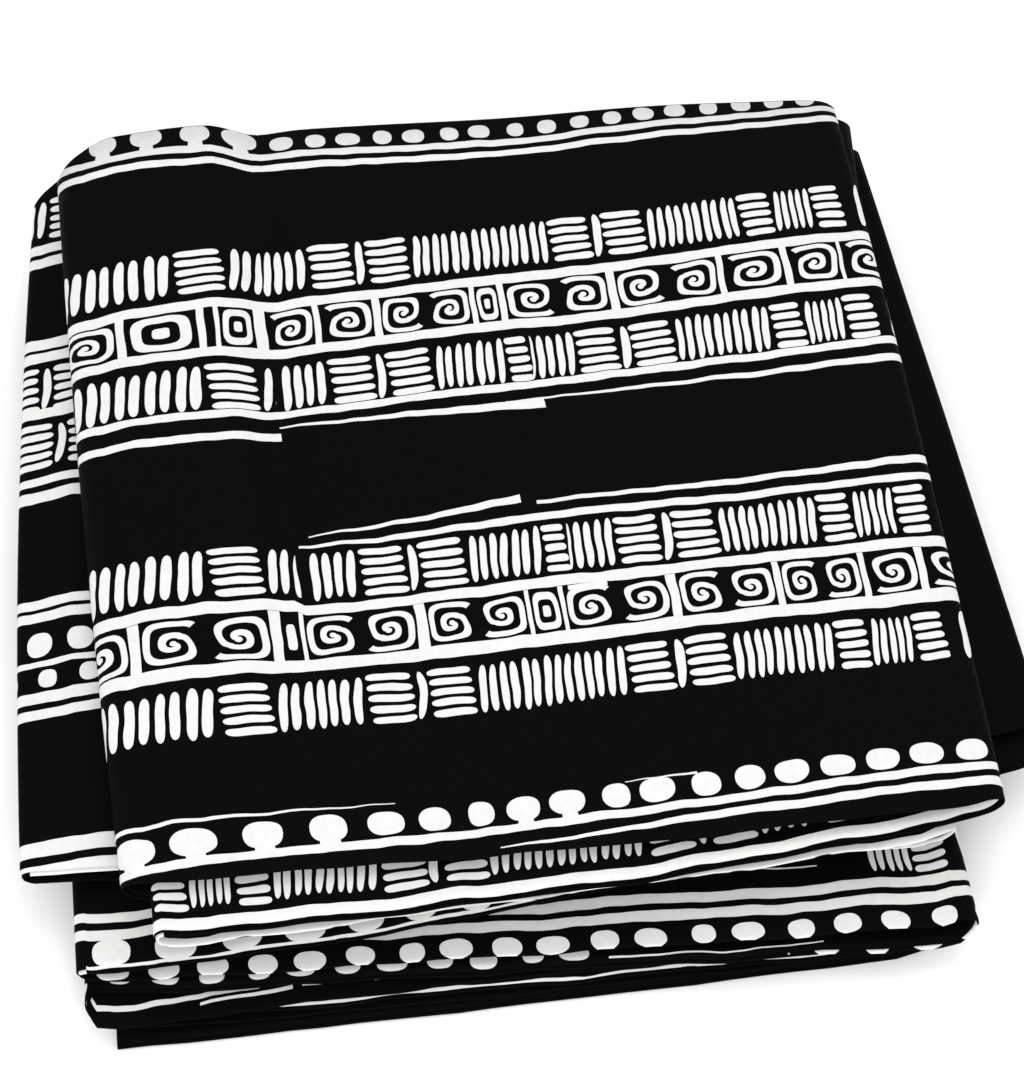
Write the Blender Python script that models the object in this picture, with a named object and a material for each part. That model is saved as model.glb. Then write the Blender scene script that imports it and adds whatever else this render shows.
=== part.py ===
"""Folded wax print cloth: one cut length, folded in three across its width into a strip,
and the strip folded back and forth from side to side into a flat, uneven packet.

The whole packet is one closed solid: a thick sheet swept along the back-and-forth path.
Sizes are in millimetres here and turned to metres when the mesh is made. X runs to the
right of the packet, Y to its back, Z up from the surface that it lies on.
"""

import math
from collections import namedtuple

import bpy

MM = 0.001
STRIP_THICKNESS = 2.6
EDGE_ROUNDING = 1.4
EDGE_THICKNESS_SHARE = 0.4
ROWS_ACROSS_STRIP = 9
STEPS_PER_PLY = 7
STEPS_ON_TOP_PLY = 26
STEPS_PER_BEND = 6
CORNER_RUN = 26.0
COLUMN_TOP = 68.0

# A row for each fold, from the tucked-in end of the length to its resting end. "front" and
# "back" are the fold's x at the two ends of its line, "swell" how far its middle bows outward,
# and "reach" how far the bend goes past its two plies. The "hang" columns say how far the ply
# before and the ply after the fold sink toward it. The "y" columns are the strip's edges on
# those two plies, and the corner columns how far its corners are drawn in there.
Fold = namedtuple(
    "Fold",
    "side front back swell reach hang_before hang_after "
    "y_front_before y_front_after y_back_before y_back_after corner_front corner_back",
)
FOLDS = (
    Fold(-1, -182.0, -197.0, 2.0, 12.0, 0.0, 6.0, -150.0, -149.0, 250.0, 252.0, 4.0, 14.0),
    Fold(+1, 198.0, 183.0, 2.0, 7.5, 0.6, 0.0, -149.0, -151.0, 243.0, 240.0, 4.0, 2.0),
    Fold(-1, -169.0, -176.0, 0.0, 5.0, 0.5, 0.5, -172.0, -175.0, 219.0, 216.0, 2.0, 6.0),
    Fold(+1, 177.0, 192.0, -2.0, 6.5, 0.0, 0.0, -158.0, -156.0, 243.0, 241.0, 6.0, 4.0),
    Fold(-1, -227.0, -211.0, 4.0, 5.2, 6.0, 4.5, -127.0, -129.0, 257.0, 255.0, 2.0, 16.0),
    Fold(+1, 231.0, 198.0, 0.0, 5.0, 7.5, 6.5, -96.0, -111.0, 242.0, 240.0, 2.0, 4.0),
    Fold(-1, -205.0, -194.0, 4.0, 5.0, 2.5, 1.0, -172.0, -174.0, 229.0, 226.0, 3.0, 8.0),
    Fold(+1, 185.0, 165.0, 0.0, 8.0, 0.0, 0.0, -186.0, -192.0, 214.0, 212.0, 6.0, 8.0),
    Fold(-1, -203.0, -192.0, 0.0, 3.8, 1.2, 0.6, -177.0, -192.0, 221.0, 210.0, 3.0, 8.0),
    Fold(+1, 162.0, 158.0, 0.0, 2.3, 0.0, 0.0, -187.0, -187.0, 210.0, 208.0, 4.0, 8.0),
    Fold(-1, -191.0, -184.0, 0.0, 2.8, 0.0, 0.0, -188.0, -189.0, 213.0, 212.0, 3.0, 8.0),
    Fold(+1, 168.0, 164.0, 0.0, 2.4, 0.0, 0.0, -186.0, -187.0, 211.0, 209.0, 4.0, 8.0),
)
HANG_RUN = 30.0

# A row for each ply in the same order. "left" and "right" are its mid height at the sides, and
# the bows how far the middle of its front and back edges stands out. The tucked end lies under
# the second packet, so the top ply's left fold wraps round that packet.
Ply = namedtuple("Ply", "name left right front_bow back_bow")
PLIES = (
    Ply("tucked_end", 49.3, 49.0, 0.0, 0.0),
    Ply("top", 67.6, 68.0, 3.0, 0.0),
    Ply("second_upper", 60.7, 58.8, 6.0, 0.0),
    Ply("second_lower", 54.8, 53.6, 0.0, 0.0),
    Ply("left_packet_upper", 43.4, 44.2, 0.0, 0.0),
    Ply("right_layer_upper", 37.2, 38.2, 18.0, 0.0),
    Ply("right_layer_lower", 31.0, 32.2, 15.0, 0.0),
    Ply("front_ledge_upper", 25.0, 26.2, 0.0, 0.0),
    Ply("front_ledge_lower", 19.2, 16.8, 0.0, 0.0),
    Ply("low_upper", 14.5, 12.9, -4.0, 0.0),
    Ply("low_lower", 10.2, 9.1, 0.0, 0.0),
    Ply("base_upper", 5.9, 5.3, 2.0, 0.0),
    Ply("base", 1.3, 1.3, 1.0, 0.0),
)

# The two cut ends of the length: x, front y and back y.
End = namedtuple("End", "x y_front y_back")
TUCKED_CUT_END = End(150.0, -146.0, 238.0)
BASE_CUT_END = End(-192.0, -195.0, 208.0)

# The soft shoulder left of the long crease on the top ply, and the crease's trough, by their
# height at stations along Y.
Crease = namedtuple("Crease", "y shoulder trough")
CREASE_X = -99.0
CREASE_HALF_WIDTH = 13.0
SHOULDER_PEAK_X = -125.0
SHOULDER_END_X = -186.0
CREASE_ROWS = (
    Crease(-150.0, 0.0, 0.0),
    Crease(-60.0, 1.6, 0.8),
    Crease(70.0, 4.6, 2.0),
    Crease(150.0, 5.8, 2.4),
    Crease(255.0, 7.2, 2.6),
)

# Slow waves that every ply shares, less and less toward the resting one.
Wave = namedtuple("Wave", "height along_x along_y phase")
WAVES = (
    Wave(0.9, 1 / 210.0, 1 / 330.0, 0.4),
    Wave(0.5, -1 / 130.0, 1 / 150.0, 2.1),
)


def blend(a, b, share):
    """The value that is this share of the way from a to b."""
    return a + (b - a) * share


def ease(share):
    """A smooth step from 0 to 1, flat outside."""
    share = min(max(share, 0.0), 1.0)
    return share * share * (3.0 - 2.0 * share)


def between_rows(rows, y, column):
    """The value of a column of CREASE_ROWS at y."""
    if y <= rows[0].y:
        return getattr(rows[0], column)
    for low, high in zip(rows, rows[1:]):
        if y <= high.y:
            share = (y - low.y) / (high.y - low.y)
            return blend(getattr(low, column), getattr(high, column), share)
    return getattr(rows[-1], column)


def wave_height(x, y):
    """The shared waves, before they are scaled to a ply."""
    total = 0.0
    for wave in WAVES:
        turn = 2.0 * math.pi * (x * wave.along_x + y * wave.along_y) + wave.phase
        total += wave.height * math.sin(turn)
    return total


def crease_height(x, y):
    """The top ply's shoulder and trough."""
    trough = between_rows(CREASE_ROWS, y, "trough")
    dip = -trough * math.exp(-(((x - CREASE_X) / CREASE_HALF_WIDTH) ** 2))
    if x >= CREASE_X:
        return dip
    shoulder = between_rows(CREASE_ROWS, y, "shoulder")
    rise = ease((CREASE_X - x) / (CREASE_X - SHOULDER_PEAK_X))
    fall = 1.0 - 0.75 * ease((SHOULDER_PEAK_X - x) / (SHOULDER_PEAK_X - SHOULDER_END_X))
    return dip + shoulder * rise * fall


def fold_x(fold, across):
    """The outermost x of a fold, this share of the way from the front edge to the back one."""
    bow = fold.side * fold.swell * 4.0 * across * (1.0 - across)
    return blend(fold.front, fold.back, across) + bow


def hang(index, x, y):
    """How far a ply sinks toward its two folds at a place in plan."""
    total = 0.0
    for number, column in ((index - 1, "hang_after"), (index, "hang_before")):
        if 0 <= number < len(FOLDS):
            fold = FOLDS[number]
            share = (y - fold.y_front_before) / (fold.y_back_before - fold.y_front_before)
            inward = abs(fold_x(fold, min(max(share, 0.0), 1.0)) - x)
            total += getattr(fold, column) * ease(1.0 - inward / HANG_RUN)
    return total


def ply_height(index, x, y):
    """The mid height of a ply at a place in plan."""
    ply = PLIES[index]
    level = blend(ply.left, ply.right, (x + 200.0) / 400.0)
    level += wave_height(x, y) * ((level - PLIES[-1].left) / COLUMN_TOP)
    if ply.name == "top":
        level += crease_height(x, y)
    return level - hang(index, x, y)


def ply_ends(index, across):
    """The x of a ply's start and end, where its bends or cut ends are."""
    ends = []
    for number, cut in ((index - 1, TUCKED_CUT_END), (index, BASE_CUT_END)):
        if 0 <= number < len(FOLDS):
            fold = FOLDS[number]
            ends.append(fold_x(fold, across) - fold.side * fold.reach)
        else:
            ends.append(cut.x)
    return ends


def ply_edges(index):
    """The y of a ply's front and back edges at its start and at its end."""
    if index == 0:
        start = (TUCKED_CUT_END.y_front, TUCKED_CUT_END.y_back)
    else:
        start = (FOLDS[index - 1].y_front_after, FOLDS[index - 1].y_back_after)
    if index == len(FOLDS):
        end = (BASE_CUT_END.y_front, BASE_CUT_END.y_back)
    else:
        end = (FOLDS[index].y_front_before, FOLDS[index].y_back_before)
    return start, end


def corner_draw(fold, outer, x):
    """How far a fold's corners draw in the front and back edges at x."""
    nearness = max(0.0, 1.0 - abs(outer - x) / CORNER_RUN)
    return fold.corner_front * nearness**2, fold.corner_back * nearness**2


def edge_span(index, along, x, across):
    """The y of a ply's front and back edges, this share of the way along it."""
    ply = PLIES[index]
    start, end = ply_edges(index)
    bow = 4.0 * along * (1.0 - along)
    front = blend(start[0], end[0], along) - ply.front_bow * bow
    back = blend(start[1], end[1], along) + ply.back_bow * bow
    for number in (index - 1, index):
        if 0 <= number < len(FOLDS):
            drawn = corner_draw(FOLDS[number], fold_x(FOLDS[number], across), x)
            front += drawn[0]
            back -= drawn[1]
    return front, back


def ply_points(index, across):
    """Mid points along a ply, at one share of the strip's width."""
    x_start, x_end = ply_ends(index, across)
    steps = STEPS_ON_TOP_PLY if PLIES[index].name == "top" else STEPS_PER_PLY
    points = []
    for step in range(steps + 1):
        along = step / steps
        x = blend(x_start, x_end, along)
        front, back = edge_span(index, along, x, across)
        y = blend(front, back, across)
        points.append((x, y, ply_height(index, x, y)))
    return points


def bend_points(number, start, end, across):
    """Mid points round a fold, between its two plies' last and first points."""
    fold = FOLDS[number]
    outer = fold_x(fold, across)
    base = corner_draw(fold, outer, start[0])
    points = []
    for step in range(1, STEPS_PER_BEND):
        share = step / STEPS_PER_BEND
        turn = math.pi * share
        bulge = fold.side * fold.reach * math.sin(turn)
        x = blend(start[0], end[0], share) + bulge
        z = blend(start[2], end[2], 0.5 - 0.5 * math.cos(turn))
        drawn = corner_draw(fold, outer, x)
        pull = blend(drawn[0] - base[0], base[1] - drawn[1], across)
        points.append((x, blend(start[1], end[1], share) + pull, z))
    return points


def path_points(across):
    """Mid points along the whole strip, from the tucked end to the base's cut end."""
    points = ply_points(0, across)
    for index in range(1, len(PLIES)):
        ply = ply_points(index, across)
        points += bend_points(index - 1, points[-1], ply[0], across) + ply
    return points


def path_normals(points):
    """Unit normals of the path in the X-Z plane, up on the first ply."""
    normals = []
    last = len(points) - 1
    for i in range(len(points)):
        before = points[max(i - 1, 0)]
        after = points[min(i + 1, last)]
        dx = after[0] - before[0]
        dz = after[2] - before[2]
        length = math.hypot(dx, dz)
        normals.append((dz / length, -dx / length))
    return normals


def across_stations():
    """Shares of the strip's width, and the share of its thickness there."""
    width = TUCKED_CUT_END.y_back - TUCKED_CUT_END.y_front
    rim = EDGE_ROUNDING / width
    stations = [(0.0, EDGE_THICKNESS_SHARE)]
    for row in range(ROWS_ACROSS_STRIP):
        stations.append((blend(rim, 1.0 - rim, row / (ROWS_ACROSS_STRIP - 1)), 1.0))
    stations.append((1.0, EDGE_THICKNESS_SHARE))
    return stations


def strip_rings():
    """For each step along the strip, the closed ring of points round its section."""
    stations = across_stations()
    upper = []
    lower = []
    for across, share in stations:
        points = path_points(across)
        normals = path_normals(points)
        half = 0.5 * STRIP_THICKNESS * share
        upper.append([(p[0] + n[0] * half, p[1], p[2] + n[1] * half) for p, n in zip(points, normals)])
        lower.append([(p[0] - n[0] * half, p[1], p[2] - n[1] * half) for p, n in zip(points, normals)])
    sections = upper + lower[::-1]
    return [list(ring) for ring in zip(*sections)]


def strip_faces(steps, ring):
    """Quads round the swept sheet and over its two cut ends."""
    faces = []
    for i in range(steps - 1):
        for j in range(ring):
            following = (j + 1) % ring
            near = i * ring
            far = near + ring
            faces.append((near + j, near + following, far + following, far + j))
    for j in range(ring // 2 - 1):
        pair = (j, j + 1, ring - 2 - j, ring - 1 - j)
        base = (steps - 1) * ring
        faces.append(pair[::-1])
        faces.append(tuple(base + k for k in pair))
    return faces


def centred(points):
    """The points in metres, with the origin under the middle of their bounding box."""
    lows = [min(p[axis] for p in points) for axis in range(3)]
    highs = [max(p[axis] for p in points) for axis in range(3)]
    shift = ((lows[0] + highs[0]) / 2.0, (lows[1] + highs[1]) / 2.0, lows[2])
    return [tuple((p[axis] - shift[axis]) * MM for axis in range(3)) for p in points]


def printed_cotton():
    """The cloth's plain stand-in colour: black ground, matt."""
    material = bpy.data.materials.new("printed_cotton")
    material.use_nodes = True
    shader = material.node_tree.nodes["Principled BSDF"]
    shader.inputs["Base Color"].default_value = (0.012, 0.012, 0.012, 1.0)
    shader.inputs["Roughness"].default_value = 0.85
    return material


def build_cloth():
    """The one solid."""
    rings = strip_rings()
    points = [point for ring in rings for point in ring]
    mesh = bpy.data.meshes.new("folded_cloth")
    mesh.from_pydata(centred(points), [], strip_faces(len(rings), len(rings[0])))
    mesh.materials.append(printed_cotton())
    mesh.validate()
    cloth = bpy.data.objects.new("folded_cloth", mesh)
    bpy.context.scene.collection.objects.link(cloth)


def main():
    for obj in list(bpy.context.scene.objects):
        bpy.data.objects.remove(obj, do_unlink=True)
    build_cloth()


main()
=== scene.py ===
"""Looks of the folded wax print cloth: one thin printed cotton sheet, folded in three across its
width and then back and forth into a packet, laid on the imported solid's own folds.

Sizes are in millimetres and turned to metres when the mesh is made. X runs to the packet's
right, Y to its back, Z up. The cloth's own places are u along its length and v across it.
"""

import math
from collections import namedtuple

import bpy
import numpy as np
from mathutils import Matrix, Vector


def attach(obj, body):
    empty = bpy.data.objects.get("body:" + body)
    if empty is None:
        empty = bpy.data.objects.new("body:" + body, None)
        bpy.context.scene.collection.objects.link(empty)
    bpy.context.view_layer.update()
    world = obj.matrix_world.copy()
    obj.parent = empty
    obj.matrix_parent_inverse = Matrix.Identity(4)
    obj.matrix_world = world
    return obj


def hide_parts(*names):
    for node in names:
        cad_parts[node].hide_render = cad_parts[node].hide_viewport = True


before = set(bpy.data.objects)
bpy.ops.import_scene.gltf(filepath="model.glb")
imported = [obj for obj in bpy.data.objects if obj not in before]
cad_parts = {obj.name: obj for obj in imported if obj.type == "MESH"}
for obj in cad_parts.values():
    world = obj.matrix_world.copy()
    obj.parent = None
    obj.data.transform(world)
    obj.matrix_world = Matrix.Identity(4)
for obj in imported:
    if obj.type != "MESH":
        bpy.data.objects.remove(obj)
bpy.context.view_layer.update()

MM = 0.001

# The packet's folds and plies, as in the solid: from the tucked-in end to the resting end.
Fold = namedtuple(
    "Fold",
    "side front back swell reach hang_before hang_after "
    "y_front_before y_front_after y_back_before y_back_after corner_front corner_back",
)
FOLDS = (
    Fold(-1, -182.0, -197.0, 2.0, 12.0, 0.0, 6.0, -150.0, -149.0, 250.0, 252.0, 4.0, 14.0),
    Fold(+1, 198.0, 183.0, 2.0, 7.5, 0.6, 0.0, -149.0, -151.0, 243.0, 240.0, 4.0, 2.0),
    Fold(-1, -169.0, -176.0, 0.0, 5.0, 0.5, 0.5, -172.0, -175.0, 219.0, 216.0, 2.0, 6.0),
    Fold(+1, 177.0, 192.0, -2.0, 6.5, 0.0, 0.0, -158.0, -156.0, 243.0, 241.0, 6.0, 4.0),
    Fold(-1, -227.0, -211.0, 4.0, 5.2, 6.0, 4.5, -127.0, -129.0, 257.0, 255.0, 2.0, 16.0),
    Fold(+1, 231.0, 198.0, 0.0, 5.0, 7.5, 6.5, -96.0, -111.0, 242.0, 240.0, 2.0, 4.0),
    Fold(-1, -205.0, -194.0, 4.0, 5.0, 2.5, 1.0, -172.0, -174.0, 229.0, 226.0, 3.0, 8.0),
    Fold(+1, 185.0, 165.0, 0.0, 8.0, 0.0, 0.0, -186.0, -192.0, 214.0, 212.0, 6.0, 8.0),
    Fold(-1, -203.0, -192.0, 0.0, 3.8, 1.2, 0.6, -177.0, -192.0, 221.0, 210.0, 3.0, 8.0),
    Fold(+1, 162.0, 158.0, 0.0, 2.3, 0.0, 0.0, -187.0, -187.0, 210.0, 208.0, 4.0, 8.0),
    Fold(-1, -191.0, -184.0, 0.0, 2.8, 0.0, 0.0, -188.0, -189.0, 213.0, 212.0, 3.0, 8.0),
    Fold(+1, 168.0, 164.0, 0.0, 2.4, 0.0, 0.0, -186.0, -187.0, 211.0, 209.0, 4.0, 8.0),
)
HANG_RUN = 30.0
CORNER_RUN = 26.0
COLUMN_TOP = 68.0

Ply = namedtuple("Ply", "name left right front_bow steps")
PLIES = (
    Ply("tucked_end", 49.3, 49.0, 0.0, 24),
    Ply("top", 67.6, 68.0, 3.0, 80),
    Ply("second_upper", 60.7, 58.8, 6.0, 64),
    Ply("second_lower", 54.8, 53.6, 0.0, 40),
    Ply("left_packet_upper", 43.4, 44.2, 0.0, 40),
    Ply("right_layer_upper", 37.2, 38.2, 18.0, 36),
    Ply("right_layer_lower", 31.0, 32.2, 15.0, 40),
    Ply("front_ledge_upper", 25.0, 26.2, 0.0, 48),
    Ply("front_ledge_lower", 19.2, 16.8, 0.0, 44),
    Ply("low_upper", 14.5, 12.9, -4.0, 44),
    Ply("low_lower", 10.2, 9.1, 0.0, 40),
    Ply("base_upper", 5.9, 5.3, 2.0, 40),
    Ply("base", 1.3, 1.3, 1.0, 24),
)
LEVELS_LEFT_X = -200.0
LEVELS_RIGHT_X = 200.0
STEPS_PER_BEND = 10
BASE_HEIGHT = PLIES[-1].left

End = namedtuple("End", "x y_front y_back")
TUCKED_CUT_END = End(150.0, -146.0, 238.0)
BASE_CUT_END = End(-192.0, -195.0, 208.0)

Crease = namedtuple("Crease", "y shoulder trough")
CREASE_X = -99.0
CREASE_HALF_WIDTH = 13.0
SHOULDER_PEAK_X = -125.0
SHOULDER_END_X = -186.0
SHOULDER_FALL = 0.75
CREASE_ROWS = (
    Crease(-150.0, 0.0, 0.0),
    Crease(-60.0, 1.6, 0.8),
    Crease(70.0, 4.6, 2.0),
    Crease(150.0, 5.8, 2.4),
    Crease(255.0, 7.2, 2.6),
)

Wave = namedtuple("Wave", "height along_x along_y phase")
WAVES = (
    Wave(0.9, 1 / 210.0, 1 / 330.0, 0.4),
    Wave(0.5, -1 / 130.0, 1 / 150.0, 2.1),
)

# From the folds' own coordinates to the row frame, whose origin is under the box's middle.
ROW_SHIFT = np.array([1.94, 29.857, 0.0])

# The cloth itself: its width is folded in three, so a ply is three layers.
CLOTH_THICKNESS = 0.34
LAYER_STEP = 0.92
FOLD_DEPTH = 1.3


def blend(a, b, share):
    """The value that is this share of the way from a to b."""
    return a + (b - a) * share


def ease(share):
    """A smooth step from 0 to 1, flat outside."""
    share = np.clip(share, 0.0, 1.0)
    return share * share * (3.0 - 2.0 * share)


def from_rows(rows, y, column):
    """A column of the rows, read at y."""
    return np.interp(y, [row.y for row in rows], [getattr(row, column) for row in rows])


def wave_height(x, y):
    """The slow waves that all plies share, before they are scaled to a ply."""
    total = 0.0
    for wave in WAVES:
        turn = 2.0 * math.pi * (x * wave.along_x + y * wave.along_y) + wave.phase
        total = total + wave.height * np.sin(turn)
    return total


def crease_height(x, y):
    """The top ply's soft shoulder and the trough beside it."""
    dip = -from_rows(CREASE_ROWS, y, "trough") * np.exp(-(((x - CREASE_X) / CREASE_HALF_WIDTH) ** 2))
    rise = ease((CREASE_X - x) / (CREASE_X - SHOULDER_PEAK_X))
    fall = 1.0 - SHOULDER_FALL * ease((SHOULDER_PEAK_X - x) / (SHOULDER_PEAK_X - SHOULDER_END_X))
    return dip + from_rows(CREASE_ROWS, y, "shoulder") * rise * fall


def fold_x(fold, across):
    """The outermost x of a fold, this share of the way from the front edge to the back one."""
    bow = fold.side * fold.swell * 4.0 * across * (1.0 - across)
    return blend(fold.front, fold.back, across) + bow


def hang(index, x, y):
    """How far a ply sinks toward its two folds at a place in plan."""
    total = 0.0
    for number, column in ((index - 1, "hang_after"), (index, "hang_before")):
        if 0 <= number < len(FOLDS):
            fold = FOLDS[number]
            share = (y - fold.y_front_before) / (fold.y_back_before - fold.y_front_before)
            inward = np.abs(fold_x(fold, np.clip(share, 0.0, 1.0)) - x)
            total = total + getattr(fold, column) * ease(1.0 - inward / HANG_RUN)
    return total


def ply_height(index, x, y):
    """The mid height of a ply at a place in plan."""
    ply = PLIES[index]
    level = blend(ply.left, ply.right, (x - LEVELS_LEFT_X) / (LEVELS_RIGHT_X - LEVELS_LEFT_X))
    level = level + wave_height(x, y) * ((level - BASE_HEIGHT) / COLUMN_TOP)
    if ply.name == "top":
        level = level + crease_height(x, y)
    return level - hang(index, x, y)


def ply_ends(index, across):
    """The x of a ply's start and end, where its bends or cut ends are."""
    ends = []
    for number, cut in ((index - 1, TUCKED_CUT_END), (index, BASE_CUT_END)):
        if 0 <= number < len(FOLDS):
            fold = FOLDS[number]
            ends.append(fold_x(fold, across) - fold.side * fold.reach)
        else:
            ends.append(cut.x + 0.0 * across)
    return ends


def ply_edges(index):
    """The y of a ply's front and back edges at its start and at its end."""
    start = (TUCKED_CUT_END.y_front, TUCKED_CUT_END.y_back)
    end = (BASE_CUT_END.y_front, BASE_CUT_END.y_back)
    if index > 0:
        start = (FOLDS[index - 1].y_front_after, FOLDS[index - 1].y_back_after)
    if index < len(FOLDS):
        end = (FOLDS[index].y_front_before, FOLDS[index].y_back_before)
    return start, end


def corner_draw(fold, outer, x):
    """How far a fold's corners draw in the front and back edges at x."""
    nearness = np.maximum(0.0, 1.0 - np.abs(outer - x) / CORNER_RUN)
    return fold.corner_front * nearness**2, fold.corner_back * nearness**2


def edge_span(index, along, x, across):
    """The y of a ply's front and back edges, this share of the way along it."""
    start, end = ply_edges(index)
    bow = 4.0 * along * (1.0 - along)
    front = blend(start[0], end[0], along) - PLIES[index].front_bow * bow
    back = blend(start[1], end[1], along)
    for number in (index - 1, index):
        if 0 <= number < len(FOLDS):
            drawn = corner_draw(FOLDS[number], fold_x(FOLDS[number], across), x)
            front = front + drawn[0]
            back = back - drawn[1]
    return front, back


def ply_rows(index, across):
    """Mid points along a ply: one row of points across the strip for each step."""
    x_start, x_end = ply_ends(index, across)
    rows = []
    for step in range(PLIES[index].steps + 1):
        along = step / PLIES[index].steps
        x = blend(x_start, x_end, along)
        front, back = edge_span(index, along, x, across)
        y = blend(front, back, across)
        rows.append(np.stack([x, y, ply_height(index, x, y)], axis=-1))
    return rows


def bend_rows(number, start, end, across):
    """Mid points round a fold, between its two plies' last and first rows."""
    fold = FOLDS[number]
    outer = fold_x(fold, across)
    base = corner_draw(fold, outer, start[:, 0])
    rows = []
    for step in range(1, STEPS_PER_BEND):
        share = step / STEPS_PER_BEND
        turn = math.pi * share
        x = blend(start[:, 0], end[:, 0], share) + fold.side * fold.reach * math.sin(turn)
        z = blend(start[:, 2], end[:, 2], 0.5 - 0.5 * math.cos(turn))
        drawn = corner_draw(fold, outer, x)
        pull = blend(drawn[0] - base[0], base[1] - drawn[1], across)
        rows.append(np.stack([x, blend(start[:, 1], end[:, 1], share) + pull, z], axis=-1))
    return rows


def path_grid(across):
    """Mid points of the whole strip, steps by columns by x, y, z, and each step's place:
    twice a ply's number on a ply, and one more round the fold after it."""
    rows = ply_rows(0, across)
    places = [0] * len(rows)
    for index in range(1, len(PLIES)):
        ply = ply_rows(index, across)
        bend = bend_rows(index - 1, rows[-1], ply[0], across)
        rows += bend + ply
        places += [2 * index - 1] * len(bend) + [2 * index] * len(ply)
    return np.array(rows), np.array(places)


def path_normals(grid):
    """Unit normals of the path in the X-Z plane, up on the first ply."""
    ahead = np.concatenate([grid[1:], grid[-1:]])
    behind = np.concatenate([grid[:1], grid[:-1]])
    dx = ahead[..., 0] - behind[..., 0]
    dz = ahead[..., 2] - behind[..., 2]
    length = np.hypot(dx, dz)
    return np.stack([dz / length, np.zeros_like(dx), -dx / length], axis=-1)


# The three layers across the cloth's width: the first lies on the path's minus side, the second
# on the path, the third on its plus side. A column has the layer it belongs to, its share of
# the way from the front edge to the back, and its offsets along the normal and y.
Column = namedtuple("Column", "layer across offset dy")
FIRST, FRONT_FOLD, MIDDLE, BACK_FOLD, LAST = range(5)
FIRST_COLUMNS = 27
MIDDLE_COLUMNS = 7
LAST_COLUMNS = 22
COLUMNS_PER_FOLD = 6
EDGE_CROWDING = 1.45


def crowded(count):
    """Shares from 0 to 1 with the first ones closer together."""
    return np.linspace(0.0, 1.0, count) ** EDGE_CROWDING


def profile_columns():
    """The cloth's columns, from its back selvedge through three layers to its front one."""
    columns = []
    for share in crowded(FIRST_COLUMNS)[::-1]:
        columns.append(Column(FIRST, share, -LAYER_STEP, 0.0))
    for step in range(1, COLUMNS_PER_FOLD):
        turn = math.pi * step / COLUMNS_PER_FOLD
        offset = -LAYER_STEP * (0.5 + 0.5 * math.cos(turn))
        columns.append(Column(FRONT_FOLD, 0.0, offset, -FOLD_DEPTH * math.sin(turn)))
    for share in np.linspace(0.0, 1.0, MIDDLE_COLUMNS):
        columns.append(Column(MIDDLE, share, 0.0, 0.0))
    for step in range(1, COLUMNS_PER_FOLD):
        turn = math.pi * step / COLUMNS_PER_FOLD
        offset = LAYER_STEP * (0.5 - 0.5 * math.cos(turn))
        columns.append(Column(BACK_FOLD, 1.0, offset, FOLD_DEPTH * math.sin(turn)))
    for share in crowded(LAST_COLUMNS)[::-1]:
        columns.append(Column(LAST, share, LAYER_STEP, 0.0))
    return columns


RIPPLE_LENGTHS = (97.0, 53.0, 31.0)
RIPPLE_SEED_TURN = 1.7
RIPPLE_FADE = 1.6
RIPPLE_HEIGHT = 1.4


def ripple(seed, place):
    """A slow uneven wave between about -1 and 1."""
    total = 0.0
    for order, length in enumerate(RIPPLE_LENGTHS):
        turn = 2.0 * math.pi * place / length + RIPPLE_SEED_TURN * seed * (order + 1) + order
        total = total + np.sin(turn) / (order + RIPPLE_FADE)
    return total / RIPPLE_HEIGHT


# A row for each ply: how far its front edge wavers in y and in z.
Edge = namedtuple("Edge", "waver lift")
EDGES = (
    Edge(0.4, 0.1),
    Edge(0.9, 0.5),
    Edge(1.1, 0.7),
    Edge(1.3, 0.6),
    Edge(0.9, 0.5),
    Edge(0.7, 0.4),
    Edge(1.0, 0.5),
    Edge(1.2, 0.6),
    Edge(1.3, 0.5),
    Edge(1.1, 0.4),
    Edge(1.2, 0.3),
    Edge(0.8, 0.2),
    Edge(0.5, 0.1),
)
EDGE_RUN = 0.08
LIFT_SEED = 0.37
LIFT_SHIFT = 40.0


def ply_share(places, column):
    """A column of EDGES at each step: on a fold, half of each of its two plies."""
    values = np.array([getattr(edge, column) for edge in EDGES])
    return 0.5 * (values[places // 2] + values[(places + 1) // 2])


def cloth_points(columns):
    """The sheet's points, steps by columns by x, y, z, and its steps' places."""
    across = np.array([column.across for column in columns])
    rim = FOLD_DEPTH / (TUCKED_CUT_END.y_back - TUCKED_CUT_END.y_front)
    grid, places = path_grid(blend(rim, 1.0 - rim, across))
    normals = path_normals(grid)
    offset = np.array([column.offset for column in columns])
    points = grid + normals * offset[:, None]
    points[..., 1] += np.array([column.dy for column in columns])
    near_front = ease(1.0 - across / EDGE_RUN)
    x = grid[:, :1, 0]
    seed = (places[:, None] + 1) // 2
    waver = ply_share(places, "waver")[:, None] * ripple(seed, x)
    lift = ply_share(places, "lift")[:, None] * ripple(seed + LIFT_SEED, x + LIFT_SHIFT)
    points[..., 1] += waver * near_front
    points[..., 2] += lift * near_front
    return points, places


# The top ply's crease, as a place along the cloth.
CREASE_U = -99.0

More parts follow.
